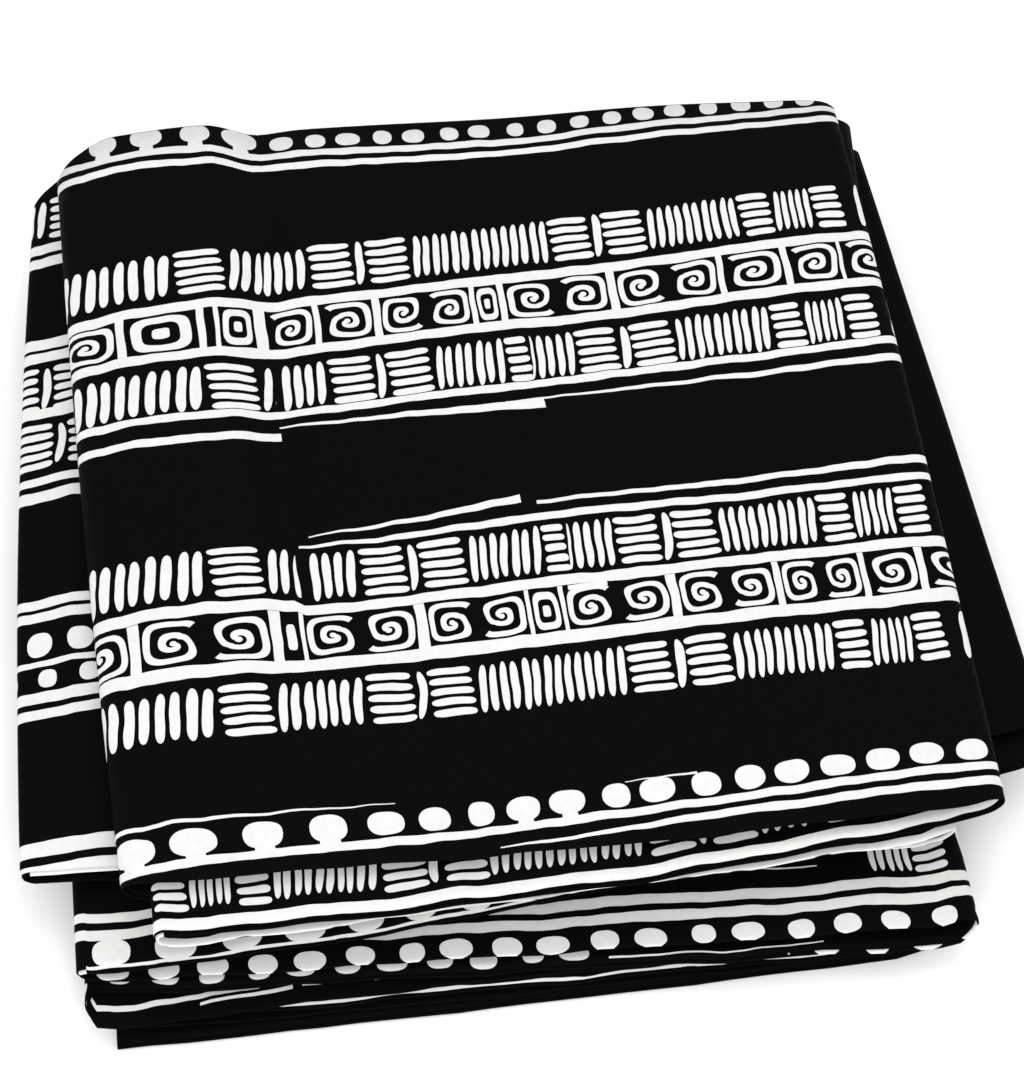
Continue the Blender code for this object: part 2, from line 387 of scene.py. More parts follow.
# Where each run of plies takes its print from, on the side that shows. A window's v is counted
# from its own row: "back" from a line 250 mm behind the origin, "front" from the front edge.
# "top" is as "back", with the slant of the top ply's print against its edges.
Window = namedtuple("Window", "first_place last_place layers origin material")
PACKET_BACK = 250.0
WINDOWS = (
    Window(0, 0, (FIRST, FRONT_FOLD, MIDDLE), "front", "plain_ground"),
    Window(1, 3, (FIRST, FRONT_FOLD, MIDDLE), "top", "top_print"),
    Window(4, 4, (FIRST, FRONT_FOLD, MIDDLE), "front", "second_under_print"),
    Window(5, 8, (FIRST, FRONT_FOLD, MIDDLE), "front", "second_edge_print"),
    Window(9, 12, (FIRST, FRONT_FOLD, MIDDLE), "front", "plain_ground"),
    Window(13, 16, (FIRST, FRONT_FOLD, MIDDLE), "front", "ledge_print"),
    Window(17, 20, (FIRST, FRONT_FOLD, MIDDLE), "front", "low_dash_print"),
    Window(21, 24, (FIRST, FRONT_FOLD, MIDDLE), "front", "plain_ground"),
    Window(0, 2, (BACK_FOLD, LAST), "front", "plain_ground"),
    Window(3, 6, (BACK_FOLD, LAST), "front", "second_print"),
    Window(7, 10, (BACK_FOLD, LAST), "back", "left_print"),
    Window(11, 14, (BACK_FOLD, LAST), "front", "corner_print"),
    Window(15, 18, (BACK_FOLD, LAST), "front", "low_dots_print"),
    Window(19, 22, (BACK_FOLD, LAST), "front", "low_edge_print"),
    Window(23, 24, (BACK_FOLD, LAST), "front", "plain_ground"),
)

TOP_WINDOW = [window.origin for window in WINDOWS].index("top")


def window_of(place, layer):
    """The number of the window that a face at this place and layer shows."""
    for number, window in enumerate(WINDOWS):
        if window.first_place <= place <= window.last_place and layer in window.layers:
            return number
    raise ValueError((place, layer))


def middle_column(columns):
    """The column along the middle of the strip."""
    return next(i for i, c in enumerate(columns) if c.layer == MIDDLE and c.across > 0.49)


def print_places(points, columns):
    """u and v for each point: u along the cloth's length, v in its window's own count."""
    middle = middle_column(columns)
    steps = np.diff(points[:, middle], axis=0)
    along = np.concatenate([[0.0], np.cumsum(np.hypot(steps[:, 0], steps[:, 2]))])
    layer = np.array([column.layer for column in columns])
    front = points[:, layer == FIRST][:, -1, 1][:, None]
    y = points[..., 1]
    from_front = np.where(layer <= FRONT_FOLD, y - front, front - y)
    from_front = np.where(layer >= BACK_FOLD, y - points[:, -1:, 1], from_front)
    from_back = PACKET_BACK - front - from_front
    from_back = np.where(layer >= BACK_FOLD, PACKET_BACK - y, from_back)
    return along, from_front, from_back


def place_origins(points, places, along, middle):
    """For each window, the u of the point of its showing ply nearest x = 0 and its direction."""
    origins = []
    for window in WINDOWS:
        upper = 0 if BACK_FOLD in window.layers else 2
        plies = [p for p in range(window.first_place, window.last_place + 1) if p % 2 == 0]
        shown = min(plies, key=lambda p: p % 4 != upper)
        steps = np.flatnonzero(places == shown)
        nearest = steps[np.argmin(np.abs(points[steps, middle, 0]))]
        sign = 1.0 if shown % 4 == 2 else -1.0
        origins.append((along[nearest] - sign * points[nearest, middle, 0], sign))
    return origins


def sheet_faces(places, columns):
    """Quads of the sheet, each with its window's number."""
    faces = []
    windows = []
    count = len(columns)
    for i in range(len(places) - 1):
        place = max(places[i], places[i + 1]) if places[i] % 2 else places[i]
        for j in range(count - 1):
            near = i * count + j
            far = near + count
            faces.append((near, near + 1, far + 1, far))
            layer = columns[j].layer if columns[j].layer % 2 else columns[j + 1].layer
            windows.append(window_of(place, layer))
    return faces, windows


def row_frame(points):
    """The points in metres in the row frame."""
    return (points - ROW_SHIFT) * MM


def build_cloth(materials):
    """The whole printed sheet as one thin closed mesh."""
    columns = profile_columns()
    points, places = cloth_points(columns)
    faces, windows = sheet_faces(places, columns)
    mesh = bpy.data.meshes.new("printed_cloth")
    mesh.from_pydata(row_frame(points).reshape(-1, 3).tolist(), [], faces)
    names = sorted(materials)
    for name in names:
        mesh.materials.append(materials[name])
    mesh.polygons.foreach_set("material_index", [names.index(WINDOWS[w].material) for w in windows])
    mesh.polygons.foreach_set("use_smooth", [True] * len(faces))
    add_print_places(mesh, points, places, columns, faces, windows)
    cloth = bpy.data.objects.new("printed_cloth", mesh)
    bpy.context.scene.collection.objects.link(cloth)
    return thickened(cloth)


# The slant of the top ply's print: how fast its rows near the back edge toward the right, how
# much faster near the packet's front and behind its middle, how the lines at its back edge rise
# to the left, and how far the row near its middle is set back left of the crease. A Zone is the y
# where a change starts and how far it runs.
SLANT_START = -60.0
SLANT = 0.0315
MORE_SLANT = 0.016
BACK_LINE_SLANT = 0.052
BACK_LINE_RANGE = (-2.5, 8.0)
LEFT_STEP = 5.0
LEFT_STEP_RUN = 4.0
LEFT_STEP_Y = -1.0
LEFT_STEP_HALF_WIDTH = 26.0
Zone = namedtuple("Zone", "y run")
FRONT_ZONE = Zone(-90.0, 50.0)
BACK_ZONE_START = Zone(45.0, 50.0)
BACK_ZONE_END = Zone(235.0, 30.0)
BACK_LINE_ZONE = Zone(195.0, 35.0)


def past(zone, y):
    """How far y is into a zone that starts at its front, 0 to 1."""
    return ease((y - zone.y) / zone.run)


def short_of(zone, y):
    """How far y is into a zone that starts at its back, 0 to 1."""
    return ease((zone.y - y) / zone.run)


def top_slant(u, y):
    """How much further back the top ply's rows lie than straight ones would."""
    right = np.maximum(u - SLANT_START, 0.0)
    more = short_of(FRONT_ZONE, y) + past(BACK_ZONE_START, y) * short_of(BACK_ZONE_END, y)
    rise = right * (SLANT + MORE_SLANT * more)
    rise = rise + np.clip(-BACK_LINE_SLANT * u, *BACK_LINE_RANGE) * past(BACK_LINE_ZONE, y)
    left = ease((CREASE_U - u) / LEFT_STEP_RUN + 0.5)
    return rise + LEFT_STEP * left * np.exp(-(((y - LEFT_STEP_Y) / LEFT_STEP_HALF_WIDTH) ** 2))


def add_print_places(mesh, points, places, columns, faces, windows):
    """The UV map that says which place of the print each face corner shows, in metres."""
    middle = middle_column(columns)
    along, from_front, from_back = print_places(points, columns)
    origins = place_origins(points, places, along, middle)
    layer_map = mesh.uv_layers.new(name="print_place")
    count = len(columns)
    start, sign = origins[TOP_WINDOW]
    u_top = (sign * (along - start))[:, None]
    from_top_back = from_back + top_slant(u_top, points[..., 1])
    counts = {"front": from_front, "back": from_back, "top": from_top_back}
    values = []
    for face, number in zip(faces, windows):
        start, sign = origins[number]
        across = counts[WINDOWS[number].origin]
        for corner in face:
            i, j = divmod(corner, count)
            values += [sign * (along[i] - start) * MM, across[i, j] * MM]
    layer_map.data.foreach_set("uv", values)


def thickened(cloth):
    """The open sheet given the cloth's thickness, as a plain mesh."""
    solid = cloth.modifiers.new("thickness", "SOLIDIFY")
    solid.thickness = CLOTH_THICKNESS * MM
    solid.offset = 0.0
    graph = bpy.context.evaluated_depsgraph_get()
    mesh = bpy.data.meshes.new_from_object(cloth.evaluated_get(graph), depsgraph=graph)
    cloth.modifiers.clear()
    old = cloth.data
    cloth.data = mesh
    bpy.data.meshes.remove(old)
    mesh.name = "printed_cloth"
    return cloth


class Field:
    """A number that varies over the cloth: a node's output that takes arithmetic."""

    def __init__(self, tree, socket):
        self.tree = tree
        self.socket = socket

    def __add__(self, other):
        return maths(self.tree, "ADD", self, other)

    def __sub__(self, other):
        return maths(self.tree, "SUBTRACT", self, other)

    def __mul__(self, other):
        return maths(self.tree, "MULTIPLY", self, other)

    def __truediv__(self, other):
        return maths(self.tree, "DIVIDE", self, other)

    def __rsub__(self, other):
        return maths(self.tree, "SUBTRACT", other, self)

    def above(self, other):
        return maths(self.tree, "GREATER_THAN", self, other)

    def below(self, other):
        return maths(self.tree, "LESS_THAN", self, other)

    def near(self, centre, reach):
        return maths(self.tree, "COMPARE", self, centre, reach)

    def size(self):
        return maths(self.tree, "ABSOLUTE", self)

    def power(self, exponent):
        return maths(self.tree, "POWER", self, exponent)

    def wrapped(self, period):
        """What is left after whole periods, from 0 to the period."""
        return maths(self.tree, "FLOORED_MODULO", self, period)

    def times_plus(self, factor, addend):
        return maths(self.tree, "MULTIPLY_ADD", self, factor, addend)

    def most(self, other):
        return maths(self.tree, "MAXIMUM", self, other)

    def turned_to(self, other, share):
        """This value where share is 0 and the other where it is 1."""
        return maths(self.tree, "MULTIPLY_ADD", maths(self.tree, "SUBTRACT", other, self), share, self)


def maths(tree, operation, *values):
    """A Math node of fields and plain numbers."""
    node = tree.nodes.new("ShaderNodeMath")
    node.operation = operation
    for slot, value in enumerate(values):
        if isinstance(value, Field):
            tree.links.new(value.socket, node.inputs[slot])
        else:
            node.inputs[slot].default_value = float(value)
    return Field(tree, node.outputs[0])


def together(fields):
    """The largest of several masks, or None of no mask."""
    total = None
    for field in fields:
        total = field if total is None else total.most(field)
    return total


NOISE_DETAIL = 1.0


def noise(tree, vector, scale):
    """A flat Noise Texture node on a vector."""
    node = tree.nodes.new("ShaderNodeTexNoise")
    node.noise_dimensions = "2D"
    node.inputs["Scale"].default_value = scale
    node.inputs["Detail"].default_value = NOISE_DETAIL
    tree.links.new(vector, node.inputs["Vector"])
    return node


# The print, in millimetres of u and v. A Line is a plain band. A Stroke runs between two u with
# its middle and half width changing steadily, for the tapering hand-cut lines. A Bars row is the
# repeat of upright and lying bars from u_start on: split is 1 where a short lying block breaks
# its longest upright one, beyond counts its place left of the top ply's crease, and sense is -1
# where the repeat runs to the left. A Frieze is a row of cells, flip -1 where they stand upside
# down, and each cell holds one or two spirals, or else a ring, one upright bar or nothing. Dots
# is a row of ovals: necks lists the ovals joined to the line on their far side. The bars rows of
# a design share the first one's half, u_start and sense, and its friezes the first one's half.
Line = namedtuple("Line", "v half")
Stroke = namedtuple("Stroke", "u_start u_end v_start v_end half_start half_end")
Bars = namedtuple("Bars", "v half shift split beyond u_start sense")
Frieze = namedtuple("Frieze", "v half flip cells")
Cell = namedtuple("Cell", "start end spirals")
Dots = namedtuple("Dots", "u_start u_end v half half_width pitch necks")
Design = namedtuple("Design", "lines strokes bars friezes dots")
EVERY = None
RING = 0
EMPTY = -1
ONE_BAR = -2
ALL_ALONG = -1000.0

BACK_CELLS = (
    Cell(-202.0, -170.6, 1), Cell(-166.2, -132.2, RING), Cell(-128.6, -123.9, EMPTY),
    Cell(-121.7, -105.0, RING), Cell(-99.5, -76.8, 1),
    Cell(-74.0, -48.6, 1), Cell(-45.0, -2.4, 2), Cell(0.2, 11.4, RING), Cell(14.3, 63.6, 2),
    Cell(67.6, 116.5, 2), Cell(119.4, 147.6, 1), Cell(151.0, 174.9, 1), Cell(176.6, 202.0, 1),
)
FRONT_CELLS = (
    Cell(-206.0, -178.0, 1), Cell(-173.0, -114.7, 2), Cell(-109.8, -101.0, ONE_BAR),
    Cell(-99.0, -49.8, 2), Cell(-44.9, 0.2, 2), Cell(2.2, 15.6, RING), Cell(17.6, 64.2, 2),
    Cell(68.5, 112.0, 2),
    Cell(115.1, 151.3, 2), Cell(154.0, 177.3, 1), Cell(180.9, 206.0, 1),
)
DESIGNS = {
    "top_print": Design(
        lines=(
            Line(20.4, 1.9), Line(27.4, 1.9), Line(104.9, 2.6), Line(132.0, 2.6), Line(166.4, 2.0),
            Line(272.6, 2.6), Line(301.0, 3.1), Line(391.6, 2.0),
        ),
        strokes=(
            Stroke(-260.0, CREASE_U, 178.5, 178.5, 2.0, 2.2),
            Stroke(CREASE_U, 24.0, 173.0, 177.2, 0.4, 2.4),
            Stroke(6.0, 230.0, 174.5, 176.0, 0.3, 2.3),
            Stroke(-97.0, -20.0, 239.6, 238.0, 0.6, 1.9),
            Stroke(-20.0, 230.0, 238.0, 238.4, 1.9, 2.0),
            Stroke(-92.0, 6.0, 234.4, 227.0, 0.3, 2.2),
            Stroke(12.0, 230.0, 230.4, 228.9, 1.0, 2.2),
            Stroke(-28.0, 70.0, 400.5, 398.4, 0.3, 1.9),
            Stroke(69.0, 240.0, 398.4, 399.4, 1.9, 2.2),
            Stroke(-260.0, -70.0, 370.5, 373.4, 1.6, 0.2),
            Stroke(30.0, 62.0, 376.6, 376.8, 0.2, 0.6),
            Stroke(20.0, 38.0, 276.6, 276.2, 1.0, 1.2),
        ),
        bars=(
            Bars(86.0, 12.2, 75.5, 0.0, 297.4, ALL_ALONG, 1.0),
            Bars(151.6, 12.0, 72.7, 1.0, 291.1, ALL_ALONG, 1.0),
            Bars(255.4, 12.0, 70.9, 1.0, 296.4, ALL_ALONG, 1.0),
            Bars(321.4, 12.2, 75.5, 0.0, 298.0, ALL_ALONG, 1.0),
        ),
        friezes=(Frieze(118.5, 10.9, 1.0, BACK_CELLS), Frieze(286.8, 11.3, -1.0, FRONT_CELLS)),
        dots=(
            Dots(-205.5, -89.5, 11.4, 5.0, 7.6, 23.2, EVERY),
            Dots(-88.9, 230.0, 13.2, 3.9, 5.1, 16.2, ()),
            Dots(-200.0, -88.0, 382.4, 6.4, 9.6, 28.0, EVERY),
            Dots(-84.3, 240.0, 382.6, 5.7, 7.1, 19.8, (3, 4)),
        ),
    ),
    "left_print": Design(
        lines=(
            Line(39.2, 2.7), Line(47.3, 2.9), Line(96.5, 2.9), Line(104.1, 2.9), Line(136.3, 2.8),
            Line(174.4, 2.2), Line(183.0, 3.0), Line(240.7, 2.4), Line(247.8, 2.6), Line(271.8, 1.5),
            Line(289.0, 2.8), Line(297.5, 2.6), Line(364.7, 3.6), Line(376.0, 3.6),
        ),
        strokes=(),
        bars=(
            Bars(21.1, 11.2, 215.0, 0.0, 0.0, ALL_ALONG, 1.0),
            Bars(122.5, 10.9, 236.0, 0.0, 0.0, ALL_ALONG, 1.0),
            Bars(155.1, 10.9, 228.0, 0.0, 0.0, ALL_ALONG, 1.0),
        ),
        friezes=(),
        dots=(
            Dots(-260.0, -100.0, 262.2, 5.8, 5.4, 19.0, ()),
            Dots(-257.0, -100.0, 279.8, 4.6, 4.6, 19.0, ()),
        ),
    ),
    "second_print": Design(
        lines=(Line(3.6, 2.7),),
        strokes=(),
        bars=(Bars(21.8, 11.2, 86.3, 0.0, 0.0, ALL_ALONG, -1.0),),
        friezes=(),
        dots=(),
    ),
    "second_under_print": Design(
        lines=(Line(3.8, 0.5),), strokes=(), bars=(), friezes=(), dots=(),
    ),
    "second_edge_print": Design(
        lines=(Line(0.4, 1.9),), strokes=(), bars=(), friezes=(), dots=(),
    ),
    "corner_print": Design(
        lines=(),
        strokes=(
            Stroke(-260.0, 120.0, 24.2, 24.2, 2.2, 2.2),
            Stroke(-260.0, 120.0, 16.0, 16.0, 2.4, 2.4),
            Stroke(-200.0, 120.0, 0.6, 0.6, 0.8, 0.8),
        ),
        bars=(),
        friezes=(),
        dots=(
            Dots(-202.5, -94.5, 7.4, 6.6, 8.4, 27.0, EVERY),
            Dots(-94.5, 120.0, 7.4, 6.2, 7.4, 23.0, ()),
        ),
    ),
    "ledge_print": Design(
        lines=(Line(12.6, 2.4), Line(20.4, 2.4)),
        strokes=(Stroke(-30.0, 112.0, 34.0, 32.0, 0.8, 0.3),),
        bars=(Bars(37.0, 11.3, 91.0, 0.0, 0.0, 133.6, 1.0),),
        friezes=(),
        dots=(Dots(-260.0, 260.0, 2.8, 4.4, 6.4, 20.5, ()),),
    ),
    "low_dots_print": Design(
        lines=(),
        strokes=(Stroke(20.0, 110.0, 3.0, 4.0, 0.5, 0.3),),
        bars=(),
        friezes=(),
        dots=(Dots(-250.0, 18.0, 5.6, 3.8, 5.6, 19.0, ()),),
    ),
    "low_dash_print": Design(
        lines=(),
        strokes=(
            Stroke(-260.0, -125.0, 6.0, 9.0, 2.2, 0.8),
            Stroke(-150.0, -110.0, 5.0, 6.5, 0.7, 0.9),
            Stroke(-106.0, -80.0, 7.0, 7.0, 0.9, 0.7),
            Stroke(-76.0, -50.0, 7.0, 8.0, 0.9, 0.7),
            Stroke(-45.0, -15.0, 8.0, 8.0, 0.7, 0.6),
        ),
        bars=(),
        friezes=(),
        dots=(),
    ),
    "low_edge_print": Design(
        lines=(Line(0.4, 0.8),), strokes=(), bars=(), friezes=(), dots=(),
    ),
    "plain_ground": Design(lines=(), strokes=(), bars=(), friezes=(), dots=()),
}

# The bars' repeat along u: four upright bars, two lying blocks with one slim bar between them,
# fourteen upright bars, such a pair again, then ten upright bars and five more, each with a lying
# block after them.
REPEAT_START = -29.0
REPEAT = 288.0
Block = namedtuple("Block", "kind start end bars")
BLOCKS = (
    Block("upright", -23.4, -1.4, 4),
    Block("lying", 0.3, 20.2, 1),
    Block("slim", 21.9, 25.5, 1),
    Block("lying", 27.5, 46.9, 1),
    Block("upright", 48.9, 115.1, 14),
    Block("lying", 116.2, 135.2, 1),
    Block("slim", 137.0, 140.8, 1),
    Block("lying", 142.2, 161.6, 1),
    Block("upright", 163.2, 208.0, 10),
    Block("lying", 209.2, 223.5, 1),
    Block("upright", 224.9, 243.7, 5),
    Block("lying", 244.9, 258.4, 1),
)
# The short block that splits the longest upright one, and half the gap that it stands in.
SPLIT_BLOCK = Block("lying", 83.4, 93.4, 1)
SPLIT_GAP = 5.9

# An upright bar's width as a share of its pitch, how far it strays along the row, and its length
# as a share of the row's height. All bars lean by the tilt.
BAR_FILL = 0.67
BAR_JITTER = 0.5
BAR_LENGTH = 0.97
BAR_MORE_LENGTH = 0.1
BAR_TILT = 0.06

# Five lying bars fill a block: their pitch, half width and the skew of their ends. A slim bar is
# curved and stands a little to the right of its place.
LYING_PITCH = 5.3
LYING_HALF = 1.75
LYING_ROW_HALF = 2.5 * LYING_PITCH
LYING_SKEW = -0.1
SLIM_CURVE = 0.008
SLIM_SHIFT = 0.6

# How square the ends of each kind of bar are.
UPRIGHT_END = 5.0
SLIM_END = 4.0
LYING_END = 7.0

# One spiral, drawn in a cell as wide as it is high: the distance between its turns, half its
# line's width and the dot at its inner end. Its turns are square from SQUARE_FROM outwards, and
# they step inwards mostly at the end of each turn.
SPIRAL_CELL = 10.9
SPIRAL_PITCH = 5.3
SPIRAL_LINE = 1.25
SPIRAL_END = 1.3
SQUARE_FROM = 7.5
SQUARE_SCALE = 1.04
SPIRAL_STEP = 3.4
SPIRAL_PHASE = -0.25
SPIRAL_START_TURN = 0.125
SPIRAL_TURNS = 2.0
FRIEZE_MARGIN = 0.5

# A ring's half width as a share of its cell's, its half height, and where the band, the dot and
# the upright bar lie, as the fourth power of the share of the way from the cell's middle.
RING_SHARE = 0.8
RING_HALF = 9.4
RING_BAND = 0.635
RING_BAND_HALF = 0.465
RING_DOT = 0.008
ONE_BAR_SIZE = 0.15

# Left of the top ply's crease the bars are wider, and start again elsewhere in their repeat.
CREASE_STRETCH = 0.63

# The small waver of a hand-cut print.
WAVER = 2.2
WAVER_PER_METRE = 55.0


def place_fields(tree):
    """u and v in millimetres, with the small waver of a hand-cut print, and the vector of them."""
    source = tree.nodes.new("ShaderNodeUVMap")
    source.uv_map = "print_place"
    waver = noise(tree, source.outputs["UV"], WAVER_PER_METRE)
    parts = tree.nodes.new("ShaderNodeSeparateXYZ")
    tree.links.new(source.outputs["UV"], parts.inputs[0])
    shades = tree.nodes.new("ShaderNodeSeparateColor")
    tree.links.new(waver.outputs["Color"], shades.inputs[0])
    u = Field(tree, parts.outputs[0]) / MM
    v = Field(tree, parts.outputs[1]) / MM
    u = Field(tree, shades.outputs[0]).times_plus(WAVER, u - WAVER / 2)
    v = Field(tree, shades.outputs[1]).times_plus(WAVER, v - WAVER / 2)
    return u, v, source.outputs["UV"]


# How far past its half width a row still counts as a row, and the middle where there is none.
ROW_MARGIN = 1.6
NO_ROW = -1000.0


def row_of(v, rows, *columns):
    """v counted from the middle of the row that it is in, and that row's other columns."""
    middle = NO_ROW
    found = [0.0] * len(columns)
    for row in rows:
        inside = v.near(row.v, row.half + ROW_MARGIN)
        middle = inside.times_plus(row.v - NO_ROW, middle)
        for slot, column in enumerate(columns):
            if getattr(row, column):
                found[slot] = inside.times_plus(getattr(row, column), found[slot])
    return [v - middle] + found


def middle_of(block):
    """The place halfway between a block's start and end."""
    return (block.start + block.end) / 2


def half_of(block):
    """Half a block's length."""
    return (block.end - block.start) / 2


def spanned(field, block):
    """1 between a block's start and end."""
    return field.near(middle_of(block), half_of(block))


def bars_mask(u, v, rows):
    """The rows of upright, lying and slim bars."""
    across, shift, split, beyond = row_of(v, rows, "shift", "split", "beyond")
    place = u * rows[0].sense + shift
    if isinstance(beyond, Field):
        place = place.turned_to(u.times_plus(CREASE_STRETCH, beyond), u.below(CREASE_U))
    place = (across.times_plus(BAR_TILT, place) - REPEAT_START).wrapped(REPEAT) + REPEAT_START
    ends = across.size() / rows[0].half
    uprights = together(upright_mask(place, ends, b) for b in BLOCKS if b.kind == "upright")
    curve = (across * across).times_plus(SLIM_CURVE, place)
    slims = together(slim_mask(curve, ends, b) for b in BLOCKS if b.kind == "slim")
    comb = (across + LYING_ROW_HALF).wrapped(LYING_PITCH) - LYING_PITCH / 2
    level = comb.size() / LYING_HALF
    skewed = across.times_plus(LYING_SKEW, place)
    lying = together(lying_mask(skewed, level, b) for b in BLOCKS if b.kind == "lying")
    if isinstance(split, Field):
        uprights = uprights * (1.0 - split * place.near(middle_of(SPLIT_BLOCK), SPLIT_GAP))
        lying = lying.most(lying_mask(skewed, level, SPLIT_BLOCK) * split)
    lying = lying * across.size().below(LYING_ROW_HALF)
    return uprights.most(slims).most(lying) * u.above(rows[0].u_start)


def upright_mask(place, ends, block):
    """A block of upright bars, each of its own length and a little out of place."""
    pitch = (block.end - block.start) / block.bars
    comb = place - block.start
    draw = chance(comb / pitch + block.bars)
    aside = comb.wrapped(pitch) - pitch / 2 + (draw - 0.5) * BAR_JITTER
    beside = aside.size() / (0.5 * BAR_FILL * pitch)
    ends = ends * draw.times_plus(BAR_MORE_LENGTH, BAR_LENGTH)
    return bar_shape(beside, ends, UPRIGHT_END) * spanned(place, block)


def slim_mask(place, ends, block):
    """A slim upright bar."""
    beside = (place - (middle_of(block) + SLIM_SHIFT)).size() / half_of(block)
    return bar_shape(beside, ends, SLIM_END)


def lying_mask(place, level, block):
    """A block of lying bars, at their share of a bar's half width from a bar's middle."""
    return bar_shape(level, (place - middle_of(block)).size() / half_of(block), LYING_END)


def chance(field):
    """A number from 0 to 1 that differs from whole number to whole number of the field."""
    tree = field.tree
    node = tree.nodes.new("ShaderNodeTexWhiteNoise")
    node.noise_dimensions = "1D"
    tree.links.new(maths(tree, "FLOOR", field).socket, node.inputs["W"])
    return Field(tree, node.outputs["Value"])


def bar_shape(beside, ends, squareness):
    """A bar with rounded ends: 1 inside, from the shares of its half width and half length."""
    return (beside * beside + ends.power(squareness)).below(1.0)


def frieze_mask(u, v, rows):
    """The rows of cells with spirals or an upright ring, and the separators between the cells."""
    across, flip = row_of(v, rows, "flip")
    inside_row = across.size().below(rows[0].half + FRIEZE_MARGIN)
    middle = half = spirals = within = 0.0
    for row in rows:
        in_row = v.near(row.v, row.half + ROW_MARGIN)
        for cell in row.cells:
            inside = spanned(u, cell) * in_row
            within = inside + within
            middle = inside.times_plus(middle_of(cell), middle)
            half = inside.times_plus(half_of(cell), half)
            spirals = inside.times_plus(cell.spirals, spirals)
    x = u - middle
    plain = ring_mask(x / half, across, spirals)
    twice = spirals.above(1.5)
    side = maths(u.tree, "SIGN", x)
    room = half * (1.0 - twice * 0.5)
    turned = (side - 1.0).times_plus(twice, 1.0)
    x = (x - side * room * twice) / room * SPIRAL_CELL
    spiral = spiral_mask(x * turned, across * flip * turned)
    inner = plain.turned_to(spiral, spirals.above(0.5))
    return inner.most(1.0 - within) * inside_row


def spiral_mask(x, y):
    """A spiral of two turns: square outside and round inside, its outer end at the top left."""
    round_reach = maths(x.tree, "SQRT", x * x + y * y)
    square_reach = maths(x.tree, "SQRT", maths(x.tree, "SQRT", x.power(4.0) + y.power(4.0)))
    square_reach = square_reach * SQUARE_SCALE
    squareness = maths(x.tree, "MINIMUM", square_reach / SQUARE_FROM, 1.0)
    reach = round_reach.turned_to(square_reach, squareness * squareness)
    turn = maths(x.tree, "ARCTAN2", x, 0.0 - y) * (0.5 / math.pi)
    turn = (turn + SPIRAL_START_TURN).wrapped(1.0)
    arms = reach.times_plus(1.0 / SPIRAL_PITCH, turn.power(SPIRAL_STEP) + SPIRAL_PHASE)
    line = arms.wrapped(1.0).near(0.5, SPIRAL_LINE / SPIRAL_PITCH)
    return (line * arms.below(SPIRAL_TURNS)).most(round_reach.below(SPIRAL_END))


def ring_mask(share, across, spirals):
    """A ring with a dot inside, or one upright bar, in a cell that has no spiral."""
    reach = (share / RING_SHARE).power(4.0) + (across / RING_HALF).power(4.0)
    ring = reach.near(RING_BAND, RING_BAND_HALF).most(reach.below(RING_DOT))
    ring = ring * spirals.above((RING + EMPTY) / 2)
    return ring.most(reach.below(ONE_BAR_SIZE) * spirals.below((EMPTY + ONE_BAR) / 2))


# An oval's jitter along its row as a share of the pitch, its least and added half width as shares
# of the row's, and how square it is. A neck's half width, how it flares and how far it reaches.
OVAL_JITTER = 0.12
OVAL_LEAST = 0.82
OVAL_MORE = 0.3
OVAL_POWER_U = 2.5
OVAL_POWER_V = 2.3
NECK_HALF = 0.4
NECK_FLARE = 0.012
NECK_REACH = 0.8


def dots_mask(u, v, row):
    """A row of uneven ovals, some joined to the line beside them by a neck."""
    across = v - row.v
    number = (u - row.u_start) / row.pitch
    draw = chance(number + round(row.v))
    x = number.wrapped(1.0) * row.pitch - row.pitch / 2 + (draw - 0.5) * (OVAL_JITTER * row.pitch)
    half_width = draw.times_plus(OVAL_MORE * row.half_width, OVAL_LEAST * row.half_width)
    oval = (x.size() / half_width).power(OVAL_POWER_U) + (across.size() / row.half).power(OVAL_POWER_V)
    shape = oval.below(1.0)
    if row.necks != ():
        flare = (across * across).times_plus(NECK_FLARE, NECK_HALF * row.half_width)
        neck = x.size().below(flare) * across.near(NECK_REACH * row.half, NECK_REACH * row.half)
        if row.necks is not EVERY:
            neck = neck * together(number.near(n + 0.5, 0.5) for n in row.necks)
        shape = shape.most(neck)
    return shape * u.near((row.u_start + row.u_end) / 2, (row.u_end - row.u_start) / 2)


def stroke_mask(u, v, stroke):
    """One tapering line."""
    length = stroke.u_end - stroke.u_start
    share = u.times_plus(1.0 / length, -stroke.u_start / length)
    middle = share.times_plus(stroke.v_end - stroke.v_start, stroke.v_start)
    half = share.times_plus(stroke.half_end - stroke.half_start, stroke.half_start)
    return v.near(middle, half) * share.near(0.5, 0.5)


def design_mask(design, u, v):
    """1 where the print is white."""
    masks = [v.near(line.v, line.half) for line in design.lines]
    masks += [stroke_mask(u, v, stroke) for stroke in design.strokes]
    masks += [dots_mask(u, v, row) for row in design.dots]
    if design.bars:
        masks.append(bars_mask(u, v, design.bars))
    if design.friezes:
        masks.append(frieze_mask(u, v, design.friezes))
    return together(masks)


# Black and white of the printed cotton, with the heights of its weave and soft crumple in mm.
BLACK_DYE = (0.0017, 0.0017, 0.0018, 1.0)
WHITE_COTTON = (0.705, 0.702, 0.694, 1.0)
WHITE_MOTTLE = (0.63, 0.626, 0.615, 1.0)
THREADS_PER_METRE = 1900.0
WEAVE_STRENGTH = 0.35
WEAVE_HEIGHT = 0.12
MOTTLES_PER_METRE = 240.0
CRUMPLES_PER_METRE = 38.0
CRUMPLE_STRENGTH = 0.5
CRUMPLE_HEIGHT = 1.6
COTTON_ROUGHNESS = 0.62
COTTON_SPECULAR = 0.02
COTTON_SHEEN = 0.001
COTTON_SHEEN_ROUGHNESS = 0.5


